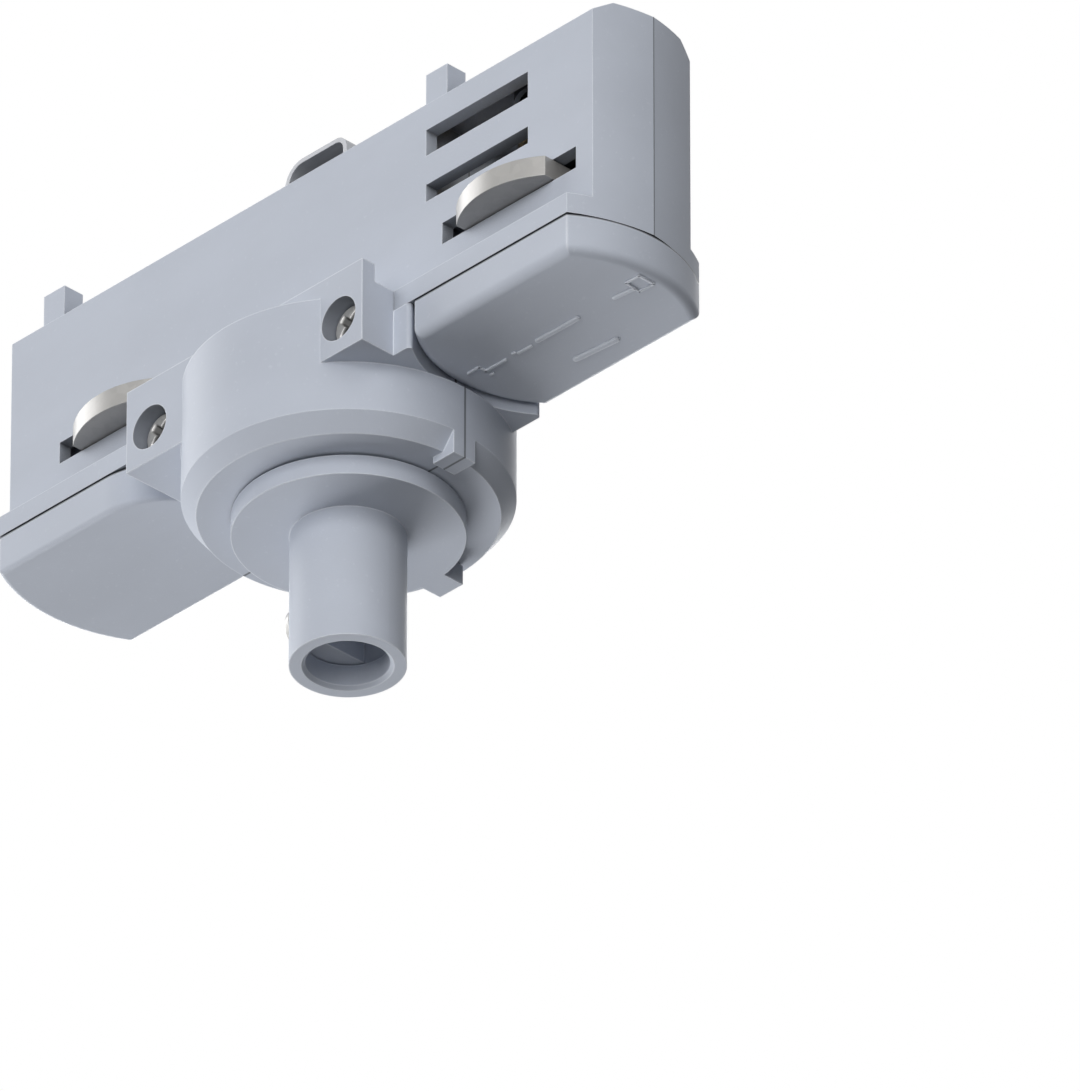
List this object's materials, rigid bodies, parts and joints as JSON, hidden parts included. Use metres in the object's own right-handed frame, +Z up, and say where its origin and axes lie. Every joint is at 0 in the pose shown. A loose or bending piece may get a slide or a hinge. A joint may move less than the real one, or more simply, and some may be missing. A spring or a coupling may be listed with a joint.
{
  "type": "track light adapter",
  "caption": "Slim ceiling-track adapter with turning lock cams, selector knob, lock lever and a drum clamp that carries a swivelling cord tube with a clamp screw.",
  "frame": {"origin": "on the swivel axis and the parting plane, at the height of the seat on the track's lips", "axes": "+X along the track towards the selector knob, +Z up into the track, -Y towards the ears"},
  "size_m": [0.1036, 0.0396, 0.0707],
  "materials": {
    "housing_plastic": "fine satin moulded polycarbonate",
    "clamp_plastic": "fine satin moulded polycarbonate",
    "swivel_plastic": "fine satin moulded polycarbonate",
    "knob_plastic": "fine satin moulded polycarbonate",
    "cam_steel": "stamped, zinc plated",
    "screw_steel": "bright zinc plated",
    "spring_steel": "rolled strip",
    "contact_brass": "stamped strip",
    "inner_plastic": "dark moulded polyamide"
  },
  "bodies": {
    "housing": {"front_housing": "housing_plastic", "rear_housing": "housing_plastic", "housing_screws": "screw_steel", "front_clamp": "clamp_plastic", "rear_clamp": "clamp_plastic", "clamp_screws": "screw_steel", "friction_washer": "inner_plastic", "terminal_block": "inner_plastic", "terminal_screws": "screw_steel", "phase_strip": "contact_brass", "neutral_strip": "contact_brass", "earth_strip": "contact_brass"},
    "selector": {"selector_knob": "knob_plastic", "selector_cam": "cam_steel", "contact_carrier": "inner_plastic", "phase_contact": "contact_brass", "neutral_contact": "contact_brass"},
    "lever": {"lock_lever": "knob_plastic", "lever_cam": "cam_steel"},
    "swivel": {"swivel_outlet": "swivel_plastic"},
    "cord_shoe": {"cord_clamp_shoe": "swivel_plastic"},
    "cord_screw": {"cord_clamp_screw": "screw_steel"},
    "earth_loop": {"earth_spring": "spring_steel"}
  },
  "joints": [
    {"name": "selector_turn", "type": "hinge", "parent": "housing", "child": "selector", "pos_m": [0.0355, 0, -0.005], "axis": [0, 0, 1], "range_deg": [0, 90]},
    {"name": "lever_turn", "type": "hinge", "parent": "housing", "child": "lever", "pos_m": [-0.03045, 0, -0.005], "axis": [0, 0, 1], "range_deg": [-90, 0]},
    {"name": "swivel_turn", "type": "hinge", "parent": "housing", "child": "swivel", "pos_m": [0, 0, -0.02], "axis": [0, 0, 1], "range_deg": [-75, 255]},
    {"name": "shoe_slide", "type": "slide", "parent": "swivel", "child": "cord_shoe", "axis": [1, 0, 0], "range_m": [0, 0.001]},
    {"name": "clamp_screw_turn", "type": "hinge", "parent": "cord_shoe", "child": "cord_screw", "pos_m": [-0.006, 0, -0.0306], "axis": [1, 0, 0], "range_deg": [0, 720]},
    {"name": "earth_press", "type": "slide", "parent": "housing", "child": "earth_loop", "axis": [0, 0, -1], "range_m": [0, 0.0015], "stiffness_N_per_m": 800}
  ],
  "couplings": [
    {"joint": "clamp_screw_turn", "follows": "shoe_slide", "rad_per_m": 12566}
  ]
}
